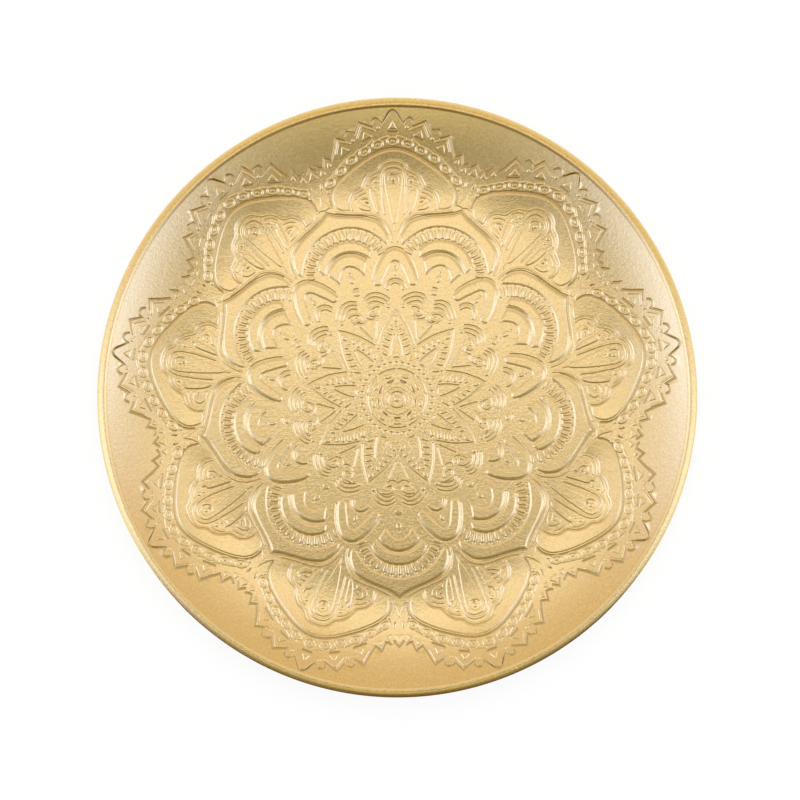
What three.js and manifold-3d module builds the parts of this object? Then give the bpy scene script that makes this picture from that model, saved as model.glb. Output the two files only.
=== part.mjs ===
// A round cast tray: a shallow dish with a nine-fold mandala standing up from its face,
// resting on four soft pads that are stuck to the flat underside with adhesive film.
// Millimetres, +Z up, z = 0 at the undersides of the pads, the tray's axis on Z.
import * as THREE from 'three';
import { mergeVertices } from 'three/addons/utils/BufferGeometryUtils.js';
import Module from 'manifold-3d';

// Driving dimensions
const TRAY_DIAMETER = 300;
const FLOOR_DIAMETER = 192;
const RIM_RISE = 8.2;
const WALL = 3.5;
const RELIEF = 0.45;
const CREST_LIP = 0.3;
const CREST_FOOT = 0.6;
const EDGE_BAND = 3.5;
const EDGE_CORNER = 1.1;
const PAD_DIAMETER = 22;
const PAD_THICKNESS = 2.5;
const PAD_INSET = 5;
const FILM_THICKNESS = 0.5;
const FILM_SETBACK = 0.5;
const FOLD = 9;
const SECTOR_STEPS = 8;
const DISC_SIDES = 32;

// Sizes that follow from them
const RADIUS = TRAY_DIAMETER / 2;
const CREST_RADIUS = RADIUS - EDGE_BAND;
const FLOOR_RADIUS = FLOOR_DIAMETER / 2;
const UNDERSIDE_Z = PAD_THICKNESS + FILM_THICKNESS;
const FLOOR_Z = UNDERSIDE_Z + WALL;
const RUN = CREST_RADIUS - FLOOR_RADIUS;
const BEND = (RUN * RUN + RIM_RISE * RIM_RISE) / (2 * RIM_RISE);
const PAD_CIRCLE_RADIUS = FLOOR_RADIUS - PAD_DIAMETER / 2 - PAD_INSET;
const FILM_DIAMETER = PAD_DIAMETER - 2 * FILM_SETBACK;
const AROUND = FOLD * SECTOR_STEPS;

// The motifs below are drawn for nine repeats inside a crest of this radius, and are fitted to the tray's own
const DRAWN_CREST_RADIUS = 146.5;
const DRAWN_FOLD = 9;
const PLAN = CREST_RADIUS / DRAWN_CREST_RADIUS;

const wasm = await Module();
wasm.setup();

// Solids: three.js geometry in and out of the boolean kernel
function solid(geometry) {
  geometry.deleteAttribute('normal');
  geometry.deleteAttribute('uv');
  const welded = mergeVertices(geometry, 1e-4);
  const index = welded.index.array;
  const tris = [];
  for (let i = 0; i < index.length; i += 3) {
    const [a, b, c] = [index[i], index[i + 1], index[i + 2]];
    if (a !== b && b !== c && c !== a) tris.push(a, b, c);
  }
  const vertProperties = new Float32Array(welded.attributes.position.array);
  const triVerts = new Uint32Array(tris);
  return new wasm.Manifold(new wasm.Mesh({ numProp: 3, vertProperties, triVerts }));
}

function geometryOf(body) {
  const mesh = body.getMesh();
  const geometry = new THREE.BufferGeometry();
  geometry.setAttribute('position', new THREE.BufferAttribute(mesh.vertProperties, 3));
  geometry.setIndex(new THREE.BufferAttribute(mesh.triVerts, 1));
  geometry.computeVertexNormals();
  return geometry;
}

// A closed profile of [radius, height] points, turned round the Z axis
function turned(profile) {
  const points = profile.map(([r, z]) => new THREE.Vector2(r, z));
  const geometry = new THREE.LatheGeometry(points, AROUND);
  geometry.rotateX(Math.PI / 2);
  return solid(geometry);
}

// A straight-sided column over a plan outline, with an optional hole
function column(outline, low, high, hole) {
  const shape = new THREE.Shape(outline.map(([x, y]) => new THREE.Vector2(x, y)));
  if (hole) shape.holes.push(new THREE.Path(hole.map(([x, y]) => new THREE.Vector2(x, y))));
  const geometry = new THREE.ExtrudeGeometry(shape, { depth: high - low, bevelEnabled: false });
  geometry.translate(0, 0, low);
  return solid(geometry);
}

// Plan outlines: circles, mirrored halves and their copies round the axis
function circle(r, steps) {
  const points = [];
  for (let i = 0; i < steps; i++) {
    const a = (i / steps) * 2 * Math.PI;
    points.push([r * Math.cos(a), r * Math.sin(a)]);
  }
  return points;
}

function fitted([x, y]) {
  const r = Math.hypot(x, y) * PLAN;
  const a = Math.atan2(x, y) * (DRAWN_FOLD / FOLD);
  return [r * Math.sin(a), r * Math.cos(a)];
}

function mirrored(half) {
  const right = half.map(fitted);
  const left = right.slice(1, -1).reverse();
  return [...right, ...left.map(([x, y]) => [-x, y])];
}

function rotated(outline, turn) {
  const c = Math.cos(turn);
  const s = Math.sin(turn);
  return outline.map(([x, y]) => [x * c - y * s, x * s + y * c]);
}

function turnOf(k) {
  return (k / FOLD) * 2 * Math.PI;
}

// Heights of the face's recessed ground and of the underside at a distance from the axis
function groundZ(r) {
  const past = Math.max(0, r - FLOOR_RADIUS);
  return FLOOR_Z + BEND - Math.sqrt(BEND * BEND - past * past);
}

function undersideZ(r) {
  const past = Math.max(0, r - FLOOR_RADIUS);
  return FLOOR_Z + BEND - Math.sqrt((BEND + WALL) ** 2 - past * past);
}

// The dish: underside, rounded lower corner, sloping edge band, crest and face
const SLOPE_STEPS = 7;
const slopeRadii = [];
for (let i = 0; i <= SLOPE_STEPS; i++) {
  slopeRadii.push(FLOOR_RADIUS + (RUN - CREST_FOOT) * (i / SLOPE_STEPS));
}
const cornerR = RADIUS - EDGE_CORNER;
const crestZ = groundZ(CREST_RADIUS) + RELIEF + CREST_LIP;
const outerZ = undersideZ(cornerR) + EDGE_CORNER;
const dishProfile = [[0, UNDERSIDE_Z]];
const UNDERSIDE_STEPS = 5;
for (let i = 0; i <= UNDERSIDE_STEPS; i++) {
  const r = FLOOR_RADIUS + (cornerR - FLOOR_RADIUS) * (i / UNDERSIDE_STEPS);
  dishProfile.push([r, undersideZ(r)]);
}
dishProfile.push([cornerR + EDGE_CORNER * Math.SQRT1_2, outerZ - EDGE_CORNER * Math.SQRT1_2]);
const BAND_STEPS = 3;
for (let i = BAND_STEPS; i >= 0; i--) {
  const t = (i / BAND_STEPS) * (Math.PI / 2);
  const r = CREST_RADIUS + EDGE_BAND * Math.sin(t);
  dishProfile.push([r, outerZ + (crestZ - outerZ) * Math.cos(t)]);
}
for (const r of [...slopeRadii].reverse()) dishProfile.push([r, groundZ(r)]);
dishProfile.push([0, FLOOR_Z]);
let dish = turned(dishProfile);

// The layer in which the relief stands: it follows the face and reaches a little into it
const SINK = 0.5 * WALL;
const layerRadii = [...slopeRadii.slice(0, -1), CREST_RADIUS + CREST_FOOT / 3];
const layerProfile = [[0, FLOOR_Z - SINK]];
for (const r of layerRadii) layerProfile.push([r, groundZ(r) - SINK]);
for (const r of [...layerRadii].reverse()) layerProfile.push([r, groundZ(r) + RELIEF]);
layerProfile.push([0, FLOOR_Z + RELIEF]);
const layer = turned(layerProfile);

// Half outlines of the motifs, each from its axis and back to it.
// On the tooth axes: dart, crescent, horseshoe arch, palmette drop and niche field.
const DART = [[0, 21], [2.7, 20.7], [2, 26], [0, 32.2]];
const CRESCENT = [[0, 58.2], [2.4, 57.2], [3, 55.2], [4.4, 55.2], [3.4, 58.4], [0, 59.8]];
const HORSESHOE = [[0, 69.6], [2.3, 69], [4.5, 65.2], [7.2, 58.6], [8.2, 57.2], [10, 57.2], [10.7, 59],
  [9.6, 63.6], [7.4, 69.3], [4.7, 74], [2.4, 75.9], [0, 76.5]];
const DROP = [[0, 84.5], [2.2, 94.5], [4.3, 107.5], [4.9, 111.5], [4.1, 114.3], [2.3, 116], [0, 116.6]];
const NICHE = [[0, 120.3], [4, 119.3], [7.4, 115.9], [14.6, 111], [16.2, 106.4], [22.3, 101], [22.3, 96],
  [28.6, 96.2], [31, 102.3], [29.6, 106.8], [20, 116.4], [10, 122.9], [0, 125.2]];
// Between the teeth: kite, pair of scrolls, two fans and the ogee petal.
const KITE = [[0, 30.2], [3.9, 38], [5.9, 42.4], [3, 40.9], [0, 42.6]];
const SCROLLS = [[0, 50.2], [2.8, 52], [6, 52.9], [9.8, 51.9], [13.2, 48.4], [13.2, 45.2], [11.4, 45.4],
  [9.2, 48], [6, 48.9], [0, 47.6]];
const FAN_INNER = [[0, 70.6], [4, 68.4], [6.6, 63.8], [10.5, 70.3], [8, 73.4], [4.2, 75.8], [0, 76.6]];
const FAN_OUTER = [[0, 78], [6, 76.6], [12.5, 71], [14.3, 74.2], [10.8, 79.3], [5.5, 82.5], [0, 83.5]];
const PETAL = [[0, 90.7], [8, 89.3], [15.5, 84.9], [20.6, 79.3], [23.2, 74.3], [24.8, 78.5], [23.6, 83.7],
  [20, 88.9], [14, 93.2], [5, 97], [0, 99.7]];
// One repeat of the toothed edge of the outer plain field, from tooth axis to valley axis.
const TEETH = [[0, 145.2], [5.3, 139.3], [10.3, 137.2], [16.6, 140], [18.6, 134.7], [23.7, 130.9],
  [28.8, 131.5], [31.5, 121.7], [35.5, 121.7], [38.6, 117.6], [42.5, 116.8]];

// The plain hub and the ring round it
const HUB_RADIUS = 4.8 * PLAN;
const RING_OUTER = 15 * PLAN;
const RING_INNER = 13.9 * PLAN;
const HUB_SIDES = 3 * FOLD;
const RING_SIDES = 5 * FOLD;
const high = 2 * crestZ;
let raised = column(circle(HUB_RADIUS, HUB_SIDES), 0, high);
raised = raised.add(column(circle(RING_OUTER, RING_SIDES), 0, high, circle(RING_INNER, RING_SIDES)));

// The motifs, repeated round the axis
for (let k = 0; k < FOLD; k++) {
  for (const half of [DART, CRESCENT, HORSESHOE, DROP, NICHE]) {
    raised = raised.add(column(rotated(mirrored(half), turnOf(k)), 0, high));
  }
  for (const half of [KITE, SCROLLS, FAN_INNER, FAN_OUTER, PETAL]) {
    raised = raised.add(column(rotated(mirrored(half), turnOf(k + 0.5)), 0, high));
  }
}

// The outer plain field, from the teeth to the crest
const toothed = [];
for (let k = 0; k < FOLD; k++) {
  const right = TEETH.map(fitted);
  const left = right.slice(1, -1).map(([x, y]) => [-x, y]);
  toothed.push(...rotated([...right.reverse(), ...left], turnOf(k)));
}
raised = raised.add(column(circle(2 * RADIUS, AROUND), 0, high, toothed));
dish = dish.add(layer.intersect(raised));

// Materials
const gold = new THREE.MeshStandardMaterial({ color: 0xc9a45c, metalness: 1, roughness: 0.35 });
const felt = () => new THREE.MeshStandardMaterial({ color: 0x2f2b28, metalness: 0, roughness: 0.95 });
const film = () => new THREE.MeshStandardMaterial({ color: 0xd8d6cf, metalness: 0, roughness: 0.5 });

// Assembly: the dish, then each pad with the film that holds it
const group = new THREE.Group();
group.name = 'ornamental_tray';

function addNode(name, geometry, material) {
  const mesh = new THREE.Mesh(geometry, material);
  mesh.name = name;
  group.add(mesh);
}

function disc(x, y, diameter, bottom, thickness) {
  const geometry = new THREE.CylinderGeometry(diameter / 2, diameter / 2, thickness, DISC_SIDES);
  geometry.rotateX(Math.PI / 2);
  geometry.translate(x, y, bottom + thickness / 2);
  return geometryOf(solid(geometry));
}

addNode('tray_dish', geometryOf(dish), gold);
const PLACES = { front_left: [-1, -1], front_right: [1, -1], back_left: [-1, 1], back_right: [1, 1] };
for (const [place, [sx, sy]] of Object.entries(PLACES)) {
  const x = sx * PAD_CIRCLE_RADIUS * Math.SQRT1_2;
  const y = sy * PAD_CIRCLE_RADIUS * Math.SQRT1_2;
  addNode(`foot_pad_${place}`, disc(x, y, PAD_DIAMETER, 0, PAD_THICKNESS), felt());
  addNode(`pad_film_${place}`, disc(x, y, FILM_DIAMETER, PAD_THICKNESS, FILM_THICKNESS), film());
}

export default group;
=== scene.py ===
import math

import bmesh
import bpy
from mathutils import Matrix, Vector


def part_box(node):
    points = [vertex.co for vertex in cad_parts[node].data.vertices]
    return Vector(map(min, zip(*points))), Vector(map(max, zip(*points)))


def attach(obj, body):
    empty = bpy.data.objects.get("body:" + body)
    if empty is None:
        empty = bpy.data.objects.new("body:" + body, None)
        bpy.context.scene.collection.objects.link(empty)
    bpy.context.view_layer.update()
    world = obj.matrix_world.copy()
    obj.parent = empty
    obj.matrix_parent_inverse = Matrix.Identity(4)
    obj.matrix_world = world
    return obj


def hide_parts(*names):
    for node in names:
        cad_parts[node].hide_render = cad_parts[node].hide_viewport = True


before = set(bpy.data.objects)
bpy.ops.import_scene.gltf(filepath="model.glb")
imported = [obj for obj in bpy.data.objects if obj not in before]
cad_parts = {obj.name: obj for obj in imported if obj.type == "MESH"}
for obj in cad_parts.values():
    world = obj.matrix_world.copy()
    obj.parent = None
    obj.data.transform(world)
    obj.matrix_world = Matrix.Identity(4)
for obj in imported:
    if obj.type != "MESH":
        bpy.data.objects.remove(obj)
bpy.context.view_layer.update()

# The dish: one sand-cast aluminium plate with a flat floor, a gently rising wall and a thin crest.
# Outside the crest a rounded edge band keeps the grain of the mould. The whole is lacquered satin gold.
# Its sizes and those of its relief are in millimetres until a piece is finished.
RADIUS = 150.0
FLOOR_RADIUS = 96.0
CREST_RADIUS = 146.5
FLOOR_TOP = 6.5
UNDERSIDE = 3.0
RIM_RISE = 8.2
CREST_TOP = 15.45
EDGE_HEIGHT = 12.92
BEND = ((CREST_RADIUS - FLOOR_RADIUS) ** 2 + RIM_RISE ** 2) / (2 * RIM_RISE)


def face_height(r):
    past = max(0.0, r - FLOOR_RADIUS)
    return FLOOR_TOP + BEND - math.sqrt(BEND ** 2 - past ** 2)


def underside_height(r):
    past = max(0.0, r - FLOOR_RADIUS)
    return FLOOR_TOP + BEND - math.sqrt((BEND + FLOOR_TOP - UNDERSIDE) ** 2 - past ** 2)


def to_metres(bm):
    bmesh.ops.scale(bm, vec=(0.001, 0.001, 0.001), verts=bm.verts[:])


def make_piece(bm, name):
    mesh = bpy.data.meshes.new(name)
    bm.to_mesh(mesh)
    bm.free()
    piece = bpy.data.objects.new(name, mesh)
    bpy.context.scene.collection.objects.link(piece)
    return piece


def link(tree, source, target):
    tree.links.new(source, target)


PEEL_SCALE = 620.0
GRAIN_SCALE = 1900.0
SPECK_SCALE = 1000.0
SPECK_LOW = 0.3
SPECK_HIGH = 0.7
PIT_SCALE = 95.0
PIT_FLOOR = 0.02
PIT_EDGE = 0.055
SKIN_DEPTH = 0.0001


# The skin of a sand casting under lacquer: fine orange peel, mould grain and a few pin holes
def cast_skin():
    group = bpy.data.node_groups.new("cast_skin", "ShaderNodeTree")
    face = group.interface
    for label, value in (("Peel", 1.0), ("Grain", 0.3), ("Pits", 0.5)):
        socket = face.new_socket(label, in_out="INPUT", socket_type="NodeSocketFloat")
        socket.default_value = value
    face.new_socket("Height", in_out="OUTPUT", socket_type="NodeSocketFloat")
    face.new_socket("Speck", in_out="OUTPUT", socket_type="NodeSocketFloat")
    nodes = group.nodes
    given = nodes.new("NodeGroupInput")
    result = nodes.new("NodeGroupOutput")
    place = nodes.new("ShaderNodeTexCoord")

    def noise(scale, detail, rough):
        node = nodes.new("ShaderNodeTexNoise")
        node.inputs["Scale"].default_value = scale
        node.inputs["Detail"].default_value = detail
        node.inputs["Roughness"].default_value = rough
        link(group, place.outputs["Object"], node.inputs["Vector"])
        return node.outputs["Fac"]

    def combine(operation, first, second, third=None):
        node = nodes.new("ShaderNodeMath")
        node.operation = operation
        link(group, first, node.inputs[0])
        link(group, second, node.inputs[1])
        if third is not None:
            link(group, third, node.inputs[2])
        return node.outputs[0]

    peel = noise(PEEL_SCALE, detail=2.0, rough=0.5)
    grain = noise(GRAIN_SCALE, detail=3.0, rough=0.62)
    speck = noise(SPECK_SCALE, detail=4.0, rough=0.65)
    pits = nodes.new("ShaderNodeTexVoronoi")
    pits.inputs["Scale"].default_value = PIT_SCALE
    link(group, place.outputs["Object"], pits.inputs["Vector"])
    hole = nodes.new("ShaderNodeMapRange")
    hole.inputs["From Min"].default_value = PIT_FLOOR
    hole.inputs["From Max"].default_value = PIT_EDGE
    hole.inputs["To Min"].default_value = -1.0
    hole.inputs["To Max"].default_value = 0.0
    link(group, pits.outputs["Distance"], hole.inputs["Value"])
    height = combine("MULTIPLY", peel, given.outputs["Peel"])
    height = combine("MULTIPLY_ADD", grain, given.outputs["Grain"], height)
    height = combine("MULTIPLY_ADD", hole.outputs["Result"], given.outputs["Pits"], height)
    link(group, height, result.inputs["Height"])
    link(group, speck, result.inputs["Speck"])
    return group


CAST_SKIN = cast_skin()


# Gold lacquer on that skin: its colour and its gloss change from speck to speck of the metal
def gold_lacquer(name, pale, deep, smooth, dull, peel, grain, pits):
    material = bpy.data.materials.new(name)
    material.use_nodes = True
    tree = material.node_tree
    metal = tree.nodes["Principled BSDF"]
    metal.inputs["Metallic"].default_value = 1.0
    skin = tree.nodes.new("ShaderNodeGroup")
    skin.node_tree = CAST_SKIN
    skin.inputs["Peel"].default_value = peel
    skin.inputs["Grain"].default_value = grain
    skin.inputs["Pits"].default_value = pits
    tone = tree.nodes.new("ShaderNodeValToRGB")
    tone.color_ramp.elements[0].position = SPECK_LOW
    tone.color_ramp.elements[0].color = (*deep, 1.0)
    tone.color_ramp.elements[1].position = SPECK_HIGH
    tone.color_ramp.elements[1].color = (*pale, 1.0)
    link(tree, skin.outputs["Speck"], tone.inputs["Fac"])
    link(tree, tone.outputs["Color"], metal.inputs["Base Color"])
    sheen = tree.nodes.new("ShaderNodeMapRange")
    sheen.inputs["From Min"].default_value = SPECK_LOW
    sheen.inputs["From Max"].default_value = SPECK_HIGH
    sheen.inputs["To Min"].default_value = smooth
    sheen.inputs["To Max"].default_value = dull
    link(tree, skin.outputs["Speck"], sheen.inputs["Value"])
    link(tree, sheen.outputs["Result"], metal.inputs["Roughness"])
    bump = tree.nodes.new("ShaderNodeBump")
    bump.inputs["Strength"].default_value = 1.0
    bump.inputs["Distance"].default_value = SKIN_DEPTH
    link(tree, skin.outputs["Height"], bump.inputs["Height"])
    link(tree, bump.outputs["Normal"], metal.inputs["Normal"])
    return material


GOLD_FACE = gold_lacquer(
    "gold_face", pale=(0.98, 0.735, 0.371), deep=(0.85, 0.63, 0.304), smooth=0.20, dull=0.25,
    peel=0.45, grain=0.45, pits=0.5,
)
GOLD_EDGE = gold_lacquer(
    "gold_edge", pale=(1.0, 0.76, 0.33), deep=(0.84, 0.57, 0.22), smooth=0.17, dull=0.26,
    peel=0.6, grain=0.9, pits=1.5,
)
# A darker, duller gold for the sunk lines of the border: painted shade standing in for the shade inside
# narrow grooves
GOLD_PAINTED_SHADE = gold_lacquer(
    "gold_painted_groove_shade", pale=(0.70, 0.49, 0.20), deep=(0.58, 0.40, 0.155), smooth=0.26, dull=0.32,
    peel=0.45, grain=0.5, pits=0.5,
)
GOLDS = (GOLD_FACE, GOLD_EDGE, GOLD_PAINTED_SHADE)
ON_FACE, ON_EDGE, ON_PAINTED_SHADE = range(3)

AROUND = 288
FLOOR_RINGS = (30.0, 60.0)
WALL_STEPS = 25
CREST_FOOT = CREST_RADIUS - 1.5
FOOT_BEND = 0.45
FOOT_RISE = 0.4
SHOULDER = ((0.55, 0.25), (0.2, 0.04))
BAND_STEPS = 8
BAND_FOOT = 11.5
CORNER = 1.1
CORNER_STEPS = 4
UNDERSIDE_STEPS = 13
dish = bmesh.new()
profile = [(0.0, FLOOR_TOP)]
for r in FLOOR_RINGS:
    profile.append((r, FLOOR_TOP))
for k in range(WALL_STEPS + 1):
    r = FLOOR_RADIUS + (CREST_FOOT - FLOOR_RADIUS) * k / WALL_STEPS
    profile.append((r, face_height(r)))
profile.append((CREST_FOOT + FOOT_BEND, face_height(CREST_FOOT + FOOT_BEND) + FOOT_RISE))
for inwards, down in SHOULDER:
    profile.append((CREST_RADIUS - inwards, CREST_TOP - down))
for k in range(BAND_STEPS + 1):
    t = math.radians(90.0 * k / BAND_STEPS)
    band = (RADIUS - CREST_RADIUS) * math.sin(t)
    profile.append((CREST_RADIUS + band, EDGE_HEIGHT + (CREST_TOP - EDGE_HEIGHT) * math.cos(t)))
low = underside_height(RADIUS - CORNER)
for k in range(1, CORNER_STEPS):
    t = math.radians(90.0 * k / CORNER_STEPS)
    profile.append((RADIUS - CORNER + CORNER * math.cos(t), low + CORNER - CORNER * math.sin(t)))
for k in range(UNDERSIDE_STEPS + 1):
    r = RADIUS - CORNER - (RADIUS - CORNER - FLOOR_RADIUS) * k / UNDERSIDE_STEPS
    profile.append((r, underside_height(r)))
profile += [(FLOOR_RINGS[-1], UNDERSIDE), (0.0, UNDERSIDE)]
dots = [dish.verts.new((r, 0.0, z)) for r, z in profile]
for first, second in zip(dots, dots[1:]):
    dish.edges.new((first, second))
bmesh.ops.spin(
    dish, geom=dish.verts[:] + dish.edges[:], cent=(0, 0, 0), axis=(0, 0, 1),
    angle=math.tau, steps=AROUND, use_merge=True,
)
bmesh.ops.remove_doubles(dish, verts=dish.verts[:], dist=0.001)
bmesh.ops.recalc_face_normals(dish, faces=dish.faces[:])
for face in dish.faces:
    middle = face.calc_center_median()
    face.smooth = True
    on_band = middle.to_2d().length > CREST_RADIUS and middle.z > BAND_FOOT
    face.material_index = ON_EDGE if on_band else ON_FACE
to_metres(dish)
tray_body = make_piece(dish, "tray_body")
for gold in GOLDS:
    tray_body.data.materials.append(gold)
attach(tray_body, "root")
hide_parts("tray_dish")

# The hub of the mandala, cast in one with the dish: a button in a ring, nine pairs of small lenses,
# nine sunk arcs and a circle of dimples. Each form has a soft draft edge, as a mould needs.
FOLD = 9
HALF_STEP = math.pi / FOLD
BURIED = 0.5
UPRIGHT = 0.05
# Soft edges from the outside in: how far each step goes in, and how far it rises
WIDE_EDGE = ((0.20, 0.05), (0.28, 0.20), (0.28, 0.20), (0.20, 0.07), (0.12, 0.0))
BOLD_EDGE = ((0.15, 0.07), (0.26, 0.22), (0.24, 0.19), (0.14, 0.06), (0.05, 0.0))
FINE_EDGE = ((0.12, 0.06), (0.21, 0.18), (0.18, 0.14), (0.10, 0.04), (0.04, 0.0))
LINE_EDGE = ((0.13, 0.08), (0.20, 0.17), (0.13, 0.07), (0.04, 0.0))
LOW_EDGE = ((0.09, 0.05), (0.12, 0.10), (0.08, 0.05), (0.04, 0.0))
SUNK_EDGE = ((0.16, 0.10), (0.27, 0.22), (0.16, 0.10))

# The pattern was cut by hand, so its border came out a little oval and its middle a little low.
# It was set in the mould a little turned, and the metal shrank as it cooled.
PATTERN_TURN = math.radians(0.85)
PATTERN_SIZE = 0.9933
PATTERN_SHIFT = Vector((-0.35, -0.02))
MIDDLE_SLIP = Vector((0.2, -0.62))
FULL_RELIEF = 0.8
BORDER_RELIEF = 0.62
BORDER_FROM = 92.0
BORDER_TO = 118.0
TRUE_FROM = 132.0
TRUE_SHARE = 0.6


# A smooth pen line through a few set points, with a corner wherever it turns sharply
def pen_line(points, closed=False, gap=0.6, corner=48.0):
    dots = [Vector(p) for p in points]
    count = len(dots)
    spans = count if closed else count - 1
    runs = [dots[(k + 1) % count] - dots[k] for k in range(spans)]
    arrive = []
    leave = []
    for k in range(count):
        before = runs[k - 1] if closed or k > 0 else runs[0]
        after = runs[k] if k < spans else runs[-1]
        if math.degrees(before.angle(after)) > corner:
            arrive.append(before.normalized())
            leave.append(after.normalized())
        else:
            way = before.normalized() * after.length + after.normalized() * before.length
            arrive.append(way.normalized())
            leave.append(way.normalized())
    line = []
    for k in range(spans):
        start = dots[k]
        end = dots[(k + 1) % count]
        length = runs[k].length
        pull_out = leave[k] * length
        pull_in = arrive[(k + 1) % count] * length
        steps = max(1, round(length / gap))
        for n in range(steps):
            t = n / steps
            a = 2 * t ** 3 - 3 * t ** 2 + 1
            b = t ** 3 - 2 * t ** 2 + t
            c = 3 * t ** 2 - 2 * t ** 3
            d = t ** 3 - t ** 2
            line.append(start * a + pull_out * b + end * c + pull_in * d)
    if not closed:
        line.append(dots[-1])
    return line


def outline(points):
    return pen_line(points, closed=True)


# The whole of a form or line from its right half, which starts or ends on the middle line
def mirrored(half):
    return list(half) + [(-x, y) for x, y in reversed(half) if abs(x) > 0.001]


def flipped(points):
    return [Vector((-p[0], p[1])) for p in points]


# From a drawing with a valley between two teeth upright, to its place in the mandala
def in_valley(points):
    turn = Matrix.Rotation(-HALF_STEP, 2)
    return [turn @ Vector(p) for p in points]


LONGEST_MITRE = 1.6
ROUND_END = (0.6, 1.57, 2.54)


# A drawn line of some width with round ends
def pen_stroke(points, width, gap=0.6):
    line = pen_line(points, gap=gap)
    last = len(line) - 1
    left = []
    right = []
    for k, p in enumerate(line):
        before = (p - line[k - 1]).normalized() if k > 0 else None
        after = (line[k + 1] - p).normalized() if k < last else None
        way = (before or after) + (after or before)
        way.normalize()
        mitre = 1.0
        if before is not None and after is not None:
            mitre = min(LONGEST_MITRE, 1.0 / max(0.3, way.dot(after)))
        side = Vector((-way.y, way.x)) * 0.5 * width * mitre
        left.append(p + side)
        right.append(p - side)
    ends = []
    for tip, side, way in (
        (line[-1], left[-1] - line[-1], (line[-1] - line[-2]).normalized()),
        (line[0], right[0] - line[0], (line[0] - line[1]).normalized()),
    ):
        reach = side.length
        ends.append([tip + side * math.cos(a) + way * reach * math.sin(a) for a in ROUND_END])
    return left + ends[0] + right[::-1] + ends[1]


# A lens, leaf or short bar, with an optional bow
def leaf(x, y, length, width, turn=0.0, bow=0.0, point=0.8, steps=8):
    spin = Matrix.Rotation(math.radians(turn), 2)
    edge = []
    for k in range(2 * steps):
        t = math.cos(math.pi * k / steps)
        side = 1 if k < steps else -1
        swell = max(0.0, 1 - t * t) ** point
        edge.append(Vector((x, y)) + spin @ Vector(
            (0.5 * length * t, bow * (1 - t * t) + side * 0.5 * width * swell)))
    return edge


def round_spot(x, y, r, steps=14):
    return [Vector((x + r * math.cos(math.tau * k / steps), y + r * math.sin(math.tau * k / steps)))
            for k in range(steps)]


SHARP_BEND = 0.7
FULL_BEND = 2.75
TIP_ROOM = 1.1


# Leaves out the points beside a sharp tip that the sloping edge would fold over
def clear_tips(points, slope):
    count = len(points)
    drop = set()
    for k in range(count):
        before = points[k] - points[k - 1]
        after = points[(k + 1) % count] - points[k]
        bend = before.angle(after, 0.0)
        if bend < SHARP_BEND:
            continue
        reach = TIP_ROOM * slope * math.tan(min(bend, FULL_BEND) / 2)
        for way in (1, -1):
            n = 1
            while n < count // 3:
                place = (k + way * n) % count
                if (points[place] - points[k]).length > reach:
                    break
                drop.add(place)
                n += 1
        drop.discard(k)
    return [p for k, p in enumerate(points) if k not in drop]


def signed_area(points):
    area = 0.0
    for p, q in zip(points, points[1:] + points[:1]):
        area += p[0] * q[1] - q[0] * p[1]
    return area


# A raised form: a flat shape set into the dish, drawn up and stepped in to a soft edge
def raise_form(bm, points, edge, level=0.0):
    points = clear_tips([Vector(p) for p in points], sum(width for width, rise in edge))
    if signed_area(points) < 0:
        points = points[::-1]
    base = bm.faces.new([bm.verts.new((p[0], p[1], -BURIED)) for p in points])
    raise_faces(bm, [base], edge, level)


def raise_faces(bm, faces, edge, level=0.0):
    for face in faces:
        face.normal_update()
        if face.normal.z < 0:
            face.normal_flip()
    drawn = bmesh.ops.extrude_face_region(bm, geom=faces)["geom"]
    top = [part for part in drawn if isinstance(part, bmesh.types.BMFace)]
    rim = [part for part in drawn if isinstance(part, bmesh.types.BMVert)]
    bmesh.ops.translate(bm, vec=(0, 0, BURIED + level), verts=rim)
    for width, rise in edge:
        bmesh.ops.inset_region(
            bm, faces=top, thickness=width, depth=rise, use_boundary=True, use_even_offset=True)


def raise_pair(bm, points, edge):
    raise_form(bm, points, edge)
    raise_form(bm, flipped(points), edge)


def raise_ring(bm, inner, outer, edge, steps):
    inside = bm.verts.new((0.0, inner, -BURIED))
    outside = bm.verts.new((0.0, outer, -BURIED))
    start = bm.edges.new((inside, outside))
    known = set(bm.faces)
    bmesh.ops.spin(
        bm, geom=[inside, outside, start], cent=(0, 0, 0), axis=(0, 0, 1),
        angle=math.tau, steps=steps, use_merge=True)
    verts = list({v for f in bm.faces if f not in known for v in f.verts})
    bmesh.ops.remove_doubles(bm, verts=verts, dist=0.001)
    raise_faces(bm, [f for f in bm.faces if f not in known], edge)


CUT_OFFSET = 0.37


# Cross cuts that let a wide form follow the rise of the dish, set clear of the drawing's own points
def cut_across(bm, size):
    reach = max(max(abs(v.co.x), abs(v.co.y)) for v in bm.verts)
    count = int(reach / size) + 1
    for k in range(-count, count + 1):
        for normal in ((1, 0, 0), (0, 1, 0)):
            bmesh.ops.bisect_plane(
                bm, geom=bm.verts[:] + bm.edges[:] + bm.faces[:], dist=0.0005,
                plane_co=((k + CUT_OFFSET) * size, (k + CUT_OFFSET) * size, 0), plane_no=normal)


def repeat_round(bm):
    bmesh.ops.spin(
        bm, geom=bm.verts[:] + bm.edges[:] + bm.faces[:], cent=(0, 0, 0), axis=(0, 0, 1),
        angle=math.tau * (FOLD - 1) / FOLD, steps=FOLD - 1, use_duplicate=True)


def eased(value, start, end):
    t = min(1.0, max(0.0, (value - start) / (end - start)))
    return t * t * (3 - 2 * t)


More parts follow.
